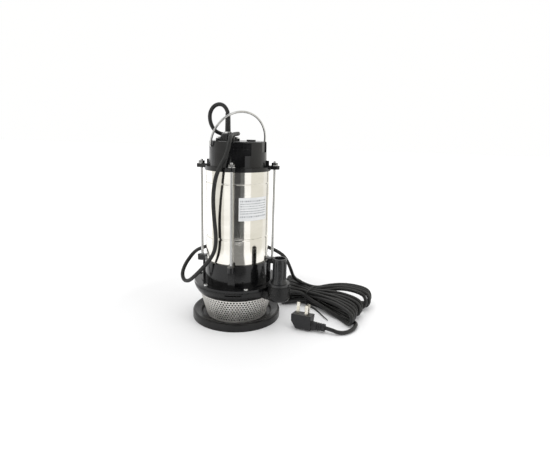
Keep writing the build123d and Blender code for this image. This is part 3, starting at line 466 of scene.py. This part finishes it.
# %% Nylon, sheath and plug
black_nylon = finish("black_nylon", ((0.008, 0.008, 0.009), (0.016, 0.017, 0.018)),
                     (0.24, 0.36), 1800.0, patch=110.0, grain_depth=0.00004, shine=0.6)
cable_sheath = finish("cable_sheath", ((0.009, 0.009, 0.009), (0.016, 0.016, 0.0155)),
                      (0.36, 0.54), 1500.0, patch=120.0, grain_depth=0.00004, shine=0.4)
plug_moulding = finish("plug_moulding", ((0.008, 0.008, 0.009), (0.014, 0.014, 0.015)),
                       (0.38, 0.52), 2600.0, patch=150.0, grain_depth=0.00005, shine=0.4)
nickel_brass = finish("nickel_brass", ((0.70, 0.66, 0.55), (0.86, 0.83, 0.76)), (0.20, 0.34), 1400.0,
                      patch=220.0, metal=1.0, grain_depth=0.00002)
tie_wire = finish("tie_wire", ((0.008, 0.008, 0.008), (0.018, 0.018, 0.018)), (0.25, 0.40), 3000.0,
                  patch=400.0, grain_depth=0.00003)
print("four polymers and the blades")

# %% [markdown]
# The rating plate is white film. Its print is only bars and blocks, set as print would be, so
# that it reads as a label without saying anything.

# %% Label film and print
label_film = finish("label_film", ((0.66, 0.67, 0.68), (0.76, 0.77, 0.77)), (0.30, 0.42), 600.0,
                    patch=40.0, coat=0.2, grain_depth=0.00001)
label_ink = finish("label_ink", ((0.20, 0.21, 0.23), (0.34, 0.35, 0.37)), (0.40, 0.55), 900.0,
                   patch=300.0, grain_depth=0.00001)
print(label_film.name, label_ink.name)

# %% [markdown]
# Inside the pump nothing shows until it is taken apart, yet each piece still has its own finish.
# Ground steel has lines round the shaft, the iron wheel is sandy, and seals are dull.

# %% Turning and sealing parts
shaft_steel = finish("shaft_steel", ((0.50, 0.50, 0.51), (0.62, 0.62, 0.62)), (0.16, 0.26), 900.0,
                     patch=60.0, metal=1.0, stretch=(1.0, 1.0, 6.0), grain_depth=0.00001)
bearing_steel = finish("bearing_steel", ((0.62, 0.62, 0.63), (0.76, 0.76, 0.76)), (0.06, 0.14), 900.0,
                       patch=80.0, metal=1.0, grain_depth=0.000005)
spring_steel = finish("spring_steel", ((0.42, 0.42, 0.42), (0.60, 0.60, 0.58)), (0.22, 0.36), 2000.0,
                      patch=200.0, metal=1.0, grain_depth=0.00002)
wheel_iron = finish("wheel_iron", ((0.050, 0.047, 0.044), (0.12, 0.11, 0.10)), (0.50, 0.72), 900.0,
                    patch=180.0, metal=0.6, grain_depth=0.00022)
gasket_fibre = finish("gasket_fibre", ((0.035, 0.037, 0.036), (0.075, 0.075, 0.070)),
                      (0.75, 0.90), 3500.0, patch=900.0, grain_depth=0.00006)
nitrile = finish("nitrile", ((0.010, 0.010, 0.010), (0.018, 0.018, 0.018)), (0.45, 0.60), 2000.0,
                 patch=200.0, grain_depth=0.00002)
seal_carbon = finish("seal_carbon", ((0.020, 0.020, 0.022), (0.045, 0.045, 0.048)),
                     (0.20, 0.36), 2400.0, patch=500.0, grain_depth=0.00001)
print("turning and sealing parts")

# %% [markdown]
# The stator and the rotor core are stacks of sheet steel half a millimetre thick, so they show
# even lines across the shaft. A wave of band type along Z makes the stack. The winding is enamelled
# copper, whose strands lie round the bore: the same bands, finer and bent by distortion.


# %% Stack and winding
def banded(name, shades, gloss, metal, sheet, distortion, depth):
    """Bands across the shaft, one for each sheet or strand."""
    material, tree, shader, coordinates = new_finish(name)
    bands = tree.nodes.new("ShaderNodeTexWave")
    bands.bands_direction = "Z"
    bands.inputs["Scale"].default_value = math.pi / (10.0 * sheet)
    bands.inputs["Distortion"].default_value = distortion
    bands.inputs["Detail Scale"].default_value = 40.0
    tree.links.new(coordinates, bands.inputs["Vector"])
    shade = ramp(tree, bands.outputs["Fac"], *shades, start=0.1, end=0.9)
    tree.links.new(shade, shader.inputs["Base Color"])
    tree.links.new(spread(tree, noise(tree, coordinates, 90.0), *gloss), shader.inputs["Roughness"])
    bump(tree, shader, bands.outputs["Fac"], depth)
    shader.inputs["Metallic"].default_value = metal
    return material


lamination_steel = banded("lamination_steel", ((0.12, 0.12, 0.125), (0.30, 0.30, 0.31)),
                          (0.38, 0.55), 0.9, 0.0005, 0.0, 0.00006)
copper_winding = banded("copper_winding", ((0.22, 0.07, 0.02), (0.62, 0.26, 0.09)), (0.22, 0.34), 0.8,
                        0.0008, 4.0, 0.00025)
cast_aluminium = finish("cast_aluminium", ((0.44, 0.44, 0.45), (0.60, 0.60, 0.61)),
                        (0.34, 0.50), 1100.0, patch=90.0, metal=0.95, grain_depth=0.00010)
capacitor_can = finish("capacitor_can", ((0.62, 0.62, 0.59), (0.74, 0.74, 0.72)), (0.35, 0.48), 900.0,
                       patch=40.0, grain_depth=0.00002)
terminal_plastic = finish("terminal_plastic", ((0.55, 0.52, 0.42), (0.66, 0.63, 0.54)),
                          (0.36, 0.50), 1500.0, patch=60.0, grain_depth=0.00003)
print("motor finishes")

# %% [markdown]
# CAD nodes whose shape is right only need their finish. The table names the nodes for each finish,
# and the loop puts it in place of what the frame brought.


# %% Finishes for CAD nodes
def coat(piece, material):
    piece.data.materials.clear()
    piece.data.materials.append(material)


node_finishes = {
    shaft_steel: ["shaft", "impeller_key", "seal_collar"],
    bearing_steel: ["wear_ring", "lower_bearing_inner_ring", "lower_bearing_outer_ring",
                    "lower_bearing_balls", "upper_bearing_inner_ring", "upper_bearing_outer_ring",
                    "upper_bearing_balls"],
    spring_steel: ["seal_spring", "wave_washer", "capacitor_clip", "lower_bearing_cage",
                   "upper_bearing_cage"],
    wheel_iron: ["impeller"],
    gasket_fibre: ["casing_gasket", "outlet_gasket"],
    nitrile: ["lower_o_ring", "upper_o_ring"],
    seal_carbon: ["seal_seat", "seal_face"],
    lamination_steel: ["stator_core", "rotor_core"],
    copper_winding: ["stator_winding"],
    cast_aluminium: ["rotor_end_rings", "end_shield", "bearing_cap"],
    capacitor_can: ["capacitor"],
    terminal_plastic: ["terminal_block"],
    bright_zinc: ["foot_screws", "impeller_nut", "oil_plug", "gland_screws"],
    gloss_enamel: ["cover_plug"],
}
for material, nodes in node_finishes.items():
    for node in nodes:
        coat(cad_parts[node], material)
print(sum(len(nodes) for nodes in node_finishes.values()), "CAD nodes finished")

# %% [markdown]
# A CAD edge is perfectly sharp, and a real one never is: paint, casting and handling leave a small
# radius that catches the light. For the visible castings and mouldings a copy of the CAD mesh is
# merged, its coplanar triangles are dissolved into whole faces, and a Bevel modifier rounds every
# edge that is sharper than 30 degrees. Smooth shading would bend the light on the wide faces next to
# such a small round, so weighted normals give the wide faces their own direction back. The copy then
# stands for the CAD node.


# %% Rounded copies of CAD nodes
sharp_edge = math.radians(30.0)
flat_within = math.radians(0.6)


def rounded(node, name, radius, material, body="pump", segments=2):
    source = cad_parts[node]
    piece = bpy.data.objects.new(name, source.data.copy())
    bpy.context.scene.collection.objects.link(piece)
    open_mesh(piece)
    bpy.ops.mesh.select_all(action="SELECT")
    bpy.ops.mesh.remove_doubles(threshold=0.000002)
    bpy.ops.mesh.dissolve_limited(angle_limit=flat_within)
    close_mesh()
    edge = piece.modifiers.new("edge", "BEVEL")
    edge.width = radius
    edge.segments = segments
    edge.limit_method = "ANGLE"
    edge.angle_limit = sharp_edge
    edge.use_clamp_overlap = True
    apply_modifiers(piece)
    settle(piece, name)
    even = piece.modifiers.new("even_normals", "WEIGHTED_NORMAL")
    even.keep_sharp = True
    apply_modifiers(piece)
    coat(piece, material)
    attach(piece, body)
    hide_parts(node)
    print(name, count(piece), "faces")
    return piece


# %% Castings and mouldings
casting_table = [
    ("top_cover", "cover_casting", 0.0005, 2, gloss_enamel, "black_gloss_paint"),
    ("lower_bracket", "bracket_casting", 0.0005, 2, gloss_enamel, "black_gloss_paint"),
    ("pump_casing", "volute_casting", 0.0006, 2, rough_casting, "black_rough_casting"),
    ("foot", "foot_plate", 0.0006, 2, foot_paint, "foot_plate"),
    ("cable_gland", "gland_casting", 0.0006, 2, gloss_enamel, "black_gloss_paint"),
    ("cable_boot", "boot_moulding", 0.0003, 2, cable_sheath, "cable_rubber"),
    ("plug_body", "plug_moulding", 0.0009, 3, plug_moulding, "moulded_plug"),
    ("plug_blades", "plug_blade_set", 0.0002, 2, nickel_brass, "blade_brass"),
    ("motor_shell", "shell_tube", 0.0002, 2, polished_stainless, "polished_stainless"),
]
for node, name, radius, segments, material, slot in casting_table:
    rounded(node, name, radius, material, segments=segments)

# %% [markdown]
# Small parts get the same treatment. Their rounds are only a few tenths of a millimetre, but without
# them a nut or a washer never catches the light and looks cut from card.

# %% Fasteners, rods, bail, connector and plate
small_table = [
    ("rod_nuts", "rod_nut_set", 0.0004, darker_nut_metal, "bright_fastener", "pump"),
    ("rod_washers", "rod_washer_set", 0.0002, bright_zinc, "bright_fastener", "pump"),
    ("flange_screws", "flange_screw_set", 0.0005, bright_zinc, "bright_fastener", "pump"),
    ("tie_rods", "tie_rod_set", 0.0003, rod_steel, "rod_steel", "pump"),
    ("handle", "bail", 0.0002, plated_wire, "bail_wire", "handle"),
    ("gland_band", "gland_clamp", 0.0003, bright_zinc, "bright_fastener", "pump"),
    ("hose_connector", "connector_moulding", 0.0003, black_nylon, "black_nylon", "pump"),
    ("nameplate", "rating_plate", 0.0001, label_film, "label_white", "pump"),
]
for node, name, radius, material, slot, body in small_table:
    rounded(node, name, radius, material, body=body)

# %% [markdown]
# The hank is held by a twist tie, a thin plastic-covered wire that goes once round the waist and
# ends in two tails on the floor in front. It is a round wire along one curve, like the lead, but
# with points given in the plane of the waist: a distance across the bundle and a height.

# %% Twist tie
tie_radius = 0.0008
tie_section = [
    (-0.0290, 0.004), (-0.0285, 0.024), (-0.0210, 0.0330), (0.0140, 0.0345), (0.0215, 0.027),
    (0.0215, 0.004), (0.0120, 0.0010), (-0.0220, 0.0010), (-0.0300, 0.006),
]
first_end = [(0.180, -0.008, 0.003), (0.171, 0.012, 0.0015), (0.158, 0.040, 0.001)]
second_end = [(0.159, 0.043, 0.002), (0.173, 0.012, 0.001), (0.184, -0.015, 0.002)]
tie_points = [Vector(point) for point in first_end]
tie_points += [waist + across * distance + Vector((0, 0, height)) for distance, height in tie_section]
tie_points += [Vector(point) for point in second_end]
tie = nurbs("twist_tie", tie_points, tie_radius)
coat(tie, tie_wire)
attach(tie, "pump")
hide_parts("hank_tie")
print("tie of", len(tie_points), "points")

# %% [markdown]
# With its finish ready, the lead can be made. Its material is set on it, and the line that the curve
# really follows is read from a bare copy of it.

# %% Mains lead
cable = nurbs("mains_cable", route, cable_diameter / 2)
coat(cable, cable_sheath)
cable_line = spline_points(cable)
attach(cable, "pump")
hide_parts("cord_lead", "cord_hank", "cord_tail")

# %% [markdown]
# The strainer is thin stainless sheet, punched with staggered rows of round holes and rolled into a
# cone. Cutting 684 holes with booleans is slow and leaves bad faces, so it is built as the sheet
# is: one cell with one hole, repeated flat, then rolled. A ring of eight edges is the hole,
# and it is extruded outwards until its corners make the cell's square.

# %% One cell of the sheet
cells_round = 76
cell_rows = 9
cell_width = 0.0054
cell_height = 0.0048
hole_radius = 0.00205

bpy.ops.object.select_all(action="DESELECT")
bpy.ops.mesh.primitive_circle_add(vertices=8, radius=hole_radius, location=(0, 0, 0))
sheet = bpy.context.object
bpy.ops.object.mode_set(mode="EDIT")
bpy.ops.mesh.select_all(action="SELECT")
reach = cell_width / 2 / hole_radius
bpy.ops.mesh.extrude_edges_move()
bpy.ops.transform.resize(value=(reach, cell_height / cell_width * reach, 1.0))
bpy.ops.mesh.select_mode(type="VERT")
bpy.ops.mesh.select_all(action="DESELECT")
corner_x = cell_width / 3
corner_y = cell_height * 0.3
found = pick(sheet, "verts", lambda middle, item: abs(middle.x) > corner_x and abs(middle.y) > corner_y)
bpy.ops.transform.resize(value=(math.sqrt(2.0), math.sqrt(2.0), 1.0))
close_mesh()
print("cell with", found, "corners and", count(sheet), "faces")

# %% [markdown]
# Two Array modifiers repeat the cell: along X to go once round, and along Y with a shift of half a
# cell, which staggers the rows. The plain rims come from extruding the lowest and highest edges.

# %% Flat sheet
around = sheet.modifiers.new("around", "ARRAY")
around.count = cells_round
around.use_relative_offset = False
around.use_constant_offset = True
around.constant_offset_displace = (cell_width, 0.0, 0.0)
rows = sheet.modifiers.new("rows", "ARRAY")
rows.count = cell_rows
rows.use_relative_offset = False
rows.use_constant_offset = True
rows.constant_offset_displace = (cell_width / 2, cell_height, 0.0)
apply_modifiers(sheet)
open_mesh(sheet, "VERT")
bpy.ops.mesh.select_all(action="SELECT")
bpy.ops.mesh.remove_doubles(threshold=0.00002)
top_line = cell_height * (cell_rows - 0.5)
lower_rim = 0.0036
upper_rim = 0.0016
for rim_line, step in ((-cell_height / 2, -lower_rim), (top_line, upper_rim)):
    bpy.ops.mesh.select_all(action="DESELECT")
    bpy.ops.mesh.select_mode(type="EDGE")
    pick(sheet, "edges", lambda middle, item: abs(middle.y - rim_line) < 0.0001)
    bpy.ops.mesh.extrude_edges_move(TRANSFORM_OT_translate={"value": (0.0, step, 0.0)})
close_mesh()
print("flat sheet", count(sheet), "faces")

# %% [markdown]
# Rolling turns the distance along X into an angle and the distance along Y into a height on the
# cone. The merge closes the seam, and Solidify gives the sheet its thickness inwards.

# %% Rolled cone
cone_low, cone_high = (Vector(corner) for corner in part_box("strainer"))
foot_ring = 0.0595                 # outside radius of the cone's lower edge
top_ring = cone_high.x
sheet_thickness = 0.001
flat_low = min(vert.co.y for vert in sheet.data.vertices)
flat_high = max(vert.co.y for vert in sheet.data.vertices)
for vert in sheet.data.vertices:
    share = (vert.co.y - flat_low) / (flat_high - flat_low)
    angle = vert.co.x / (cell_width * cells_round) * 2 * math.pi
    ring_radius = foot_ring + (top_ring - foot_ring) * share
    height = cone_low.z + (cone_high.z - cone_low.z) * share
    vert.co = (ring_radius * math.cos(angle), ring_radius * math.sin(angle), height)
face_outwards(sheet)
first = sheet.data.polygons[0]
if first.normal.dot(Vector((first.center.x, first.center.y, 0.0))) < 0.0:
    sheet.data.flip_normals()
wall = sheet.modifiers.new("wall", "SOLIDIFY")
wall.thickness = sheet_thickness
wall.offset = -1.0
apply_modifiers(sheet)
settle(sheet, "perforated_strainer", 30.0)
coat(sheet, strainer_steel)
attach(sheet, "pump")
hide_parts("strainer")
print("strainer", count(sheet), "faces")

# %% [markdown]
# Print is ink on the film, a few hundredths of a millimetre thick. Each line of it starts as a
# narrow grid. The faces between the words are deleted, the lines are joined, and the whole is
# wrapped round the plate. Bars of different lengths stand for words, so nothing can be read.

# %% Print on the rating plate
plate_low, plate_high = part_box("nameplate")
print_radius = 0.06044
print_start = math.radians(-76.5)
print_sweep = math.radians(53.5)
line_columns = 60
ink = random.Random(4)
print_thickness = 0.00006
# height of the line on the pump, height of its letters, longest word and gap in columns
print_lines = [
    (0.2402, 0.0027, 3, 2), (0.2353, 0.0013, 5, 1), (0.2308, 0.0015, 4, 2), (0.2265, 0.0012, 6, 1),
    (0.2217, 0.0014, 5, 1), (0.2176, 0.0014, 6, 1), (0.2118, 0.0027, 3, 2),
]
line_pieces = []
for height, size, longest, gap in print_lines:
    bpy.ops.object.select_all(action="DESELECT")
    bpy.ops.mesh.primitive_grid_add(x_subdivisions=line_columns, y_subdivisions=1, size=1.0,
                                    location=(0.5, 0, 0))
    line = bpy.context.object
    kept = set()
    column = 0
    while column < line_columns:
        word = ink.randint(1, longest)
        kept.update(range(column, min(column + word, line_columns)))
        column += word + gap
    open_mesh(line)
    pick(line, "faces", lambda middle, item: int((middle.x + 0.5) * line_columns) not in kept)
    bpy.ops.mesh.delete(type="FACE")
    close_mesh()
    for vert in line.data.vertices:
        angle = print_start + print_sweep * (vert.co.x + 0.5)
        up = height + size * vert.co.y
        vert.co = (print_radius * math.cos(angle), print_radius * math.sin(angle), up)
    line.location = (0.0, 0.0, 0.0)
    line_pieces.append(line)
bpy.ops.object.select_all(action="DESELECT")
for line in line_pieces:
    line.select_set(True)
bpy.context.view_layer.objects.active = line_pieces[0]
bpy.ops.object.join()
print_piece = bpy.context.object
face_outwards(print_piece)
for face in print_piece.data.polygons:
    if face.normal.dot(Vector((face.center.x, face.center.y, 0.0))) < 0.0:
        face.flip()
film = print_piece.modifiers.new("film", "SOLIDIFY")
film.thickness = print_thickness
film.offset = -1.0
apply_modifiers(print_piece)
settle(print_piece, "plate_print")
coat(print_piece, label_ink)
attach(print_piece, "pump")
print("print", count(print_piece), "faces on a plate", round(plate_high[2] - plate_low[2], 4), "m high")

# %% [markdown]
# The studio is plain: a pale floor, a white room and soft area lights. A polished tube shows what
# stands round it, so a ring of upright cards stands there: a dark one in front gives the long dark
# streak, and a cream one at the right the warm tone. Cards are seen only in reflections. They cast
# no shadow and are hidden from the camera. The room is brighter to the camera and in reflections
# than as a light, which keeps the floor white and the black paint black.


# %% Studio
card_distance = 0.55
card_top = 1.4
dark_edge = 0.037                  # height above the floor where the dark cards begin


def stage_material(name, shade, roughness, glow=0.0):
    material = bpy.data.materials.new(name)
    material.use_nodes = True
    shader = material.node_tree.nodes["Principled BSDF"]
    shader.inputs["Base Color"].default_value = (*shade, 1.0) if glow == 0.0 else (0.0, 0.0, 0.0, 1.0)
    shader.inputs["Roughness"].default_value = roughness
    shader.inputs["Emission Color"].default_value = (*shade, 1.0)
    shader.inputs["Emission Strength"].default_value = glow
    return material


def card(name, heading_from, heading_to, low, high, material):
    """An upright sheet facing the shaft, between two headings, seen only in reflections."""
    ends = [Vector((math.cos(math.radians(side)), math.sin(math.radians(side)), 0.0)) * card_distance
            for side in (heading_from, heading_to)]
    middle = (ends[0] + ends[1]) / 2
    bpy.ops.mesh.primitive_plane_add(size=1.0, location=(0, 0, 0))
    sheet = bpy.context.object
    sheet.scale = ((ends[1] - ends[0]).length, high - low, 1.0)
    sheet.rotation_euler = (math.pi / 2, 0.0, math.radians((heading_from + heading_to) / 2 + 90))
    sheet.location = (middle.x, middle.y, (low + high) / 2)
    sheet.name = name
    sheet.data.materials.append(material)
    sheet.visible_camera = False
    sheet.visible_shadow = False
    sheet.visible_diffuse = False
    return sheet


def area_light(name, place, aim, size, power):
    lamp = bpy.data.lights.new(name, "AREA")
    lamp.shape = "RECTANGLE"
    lamp.size = size[0]
    lamp.size_y = size[1]
    lamp.energy = power
    holder = bpy.data.objects.new(name, lamp)
    holder.location = place
    line = Vector(aim) - Vector(place)
    holder.rotation_euler = line.to_track_quat("-Z", "Y").to_euler()
    bpy.context.scene.collection.objects.link(holder)
    holder.visible_glossy = False


bpy.ops.mesh.primitive_plane_add(size=14.0, location=(0.0, 0.0, 0.0))
floor = bpy.context.object
floor.name = "studio_floor"
pale_floor = stage_material("pale_floor", (0.86, 0.86, 0.865), 0.6)
floor_shader = pale_floor.node_tree.nodes["Principled BSDF"]
# Painted light: the floor glows, weakly near the shaft and more strongly further out, so the far floor
# is white while the lamps' shadows stay near the pump.
floor_shader.inputs["Emission Color"].default_value = (1.0, 1.0, 1.0, 1.0)
floor_place = pale_floor.node_tree.nodes.new("ShaderNodeTexCoord")
away = pale_floor.node_tree.nodes.new("ShaderNodeVectorMath")
away.operation = "LENGTH"
pale_floor.node_tree.links.new(floor_place.outputs["Object"], away.inputs[0])
glow_near, glow_far = 0.04, 0.70
fade_start, fade_end = 0.25, 0.95  # metres from the shaft
fade = spread(pale_floor.node_tree, away.outputs["Value"], glow_near, glow_far, fade_start, fade_end)
pale_floor.node_tree.links.new(fade, floor_shader.inputs["Emission Strength"])
floor.data.materials.append(pale_floor)

room_light = 0.60
room_seen = 1.0
room_mirrored = 0.90
world = bpy.data.worlds.new("white_room")
world.use_nodes = True
room = world.node_tree
path = room.nodes.new("ShaderNodeLightPath")
strength = None
for ray, level in (("Is Camera Ray", room_seen), ("Is Glossy Ray", room_mirrored)):
    scaled = room.nodes.new("ShaderNodeMath")
    scaled.operation = "MULTIPLY"
    scaled.inputs[1].default_value = level
    room.links.new(path.outputs[ray], scaled.inputs[0])
    brightest = room.nodes.new("ShaderNodeMath")
    brightest.operation = "MAXIMUM"
    brightest.inputs[1].default_value = room_light
    if strength:
        room.links.new(strength, brightest.inputs[1])
    room.links.new(scaled.outputs["Value"], brightest.inputs[0])
    strength = brightest.outputs["Value"]
room.nodes["Background"].inputs["Color"].default_value = (1.0, 1.0, 0.995, 1.0)
room.links.new(strength, room.nodes["Background"].inputs["Strength"])
bpy.context.scene.world = world
bpy.context.scene.view_settings.view_transform = "Standard"

card_table = [
    ("dark_card", -95, -72, dark_edge, (0.045, 0.045, 0.047)),
    ("mid_card", -72, -58, dark_edge, (0.13, 0.135, 0.135)),
    ("low_card", -95, -58, 0.0, (0.24, 0.24, 0.235)),
    ("white_card_right", -58, -36, 0.0, (1.15, 1.15, 1.14)),
    ("cream_card", -36, 20, 0.0, (0.86, 0.845, 0.78)),
    ("side_card", 20, 80, 0.0, (0.95, 0.94, 0.90)),
    ("white_card_left", -128, -95, 0.0, (1.12, 1.12, 1.10)),
    ("left_card", -180, -128, 0.0, (0.84, 0.83, 0.79)),
]
for name, heading_from, heading_to, low, tone in card_table:
    high = dark_edge if name == "low_card" else card_top
    card(name, heading_from, heading_to, low, high, stage_material(name, tone, 0.8, 1.0))
runner = card("runner", -95, -58, 0.0, 0.25, stage_material("runner", (0.24, 0.24, 0.235), 0.8, 1.0))
runner.rotation_euler.x = 0.0
runner.location = (0.095, -0.44, 0.0008)
area_light("key_light", (-0.8, -1.0, 1.7), (0.0, 0.0, 0.15), (1.2, 0.9), 12.0)
area_light("fill_light", (1.4, -0.5, 1.3), (0.05, 0.0, 0.15), (1.0, 1.2), 6.0)
area_light("top_light", (0.1, 0.3, 2.0), (0.05, 0.0, 0.0), (1.6, 1.4), 14.0)
print("studio ready")
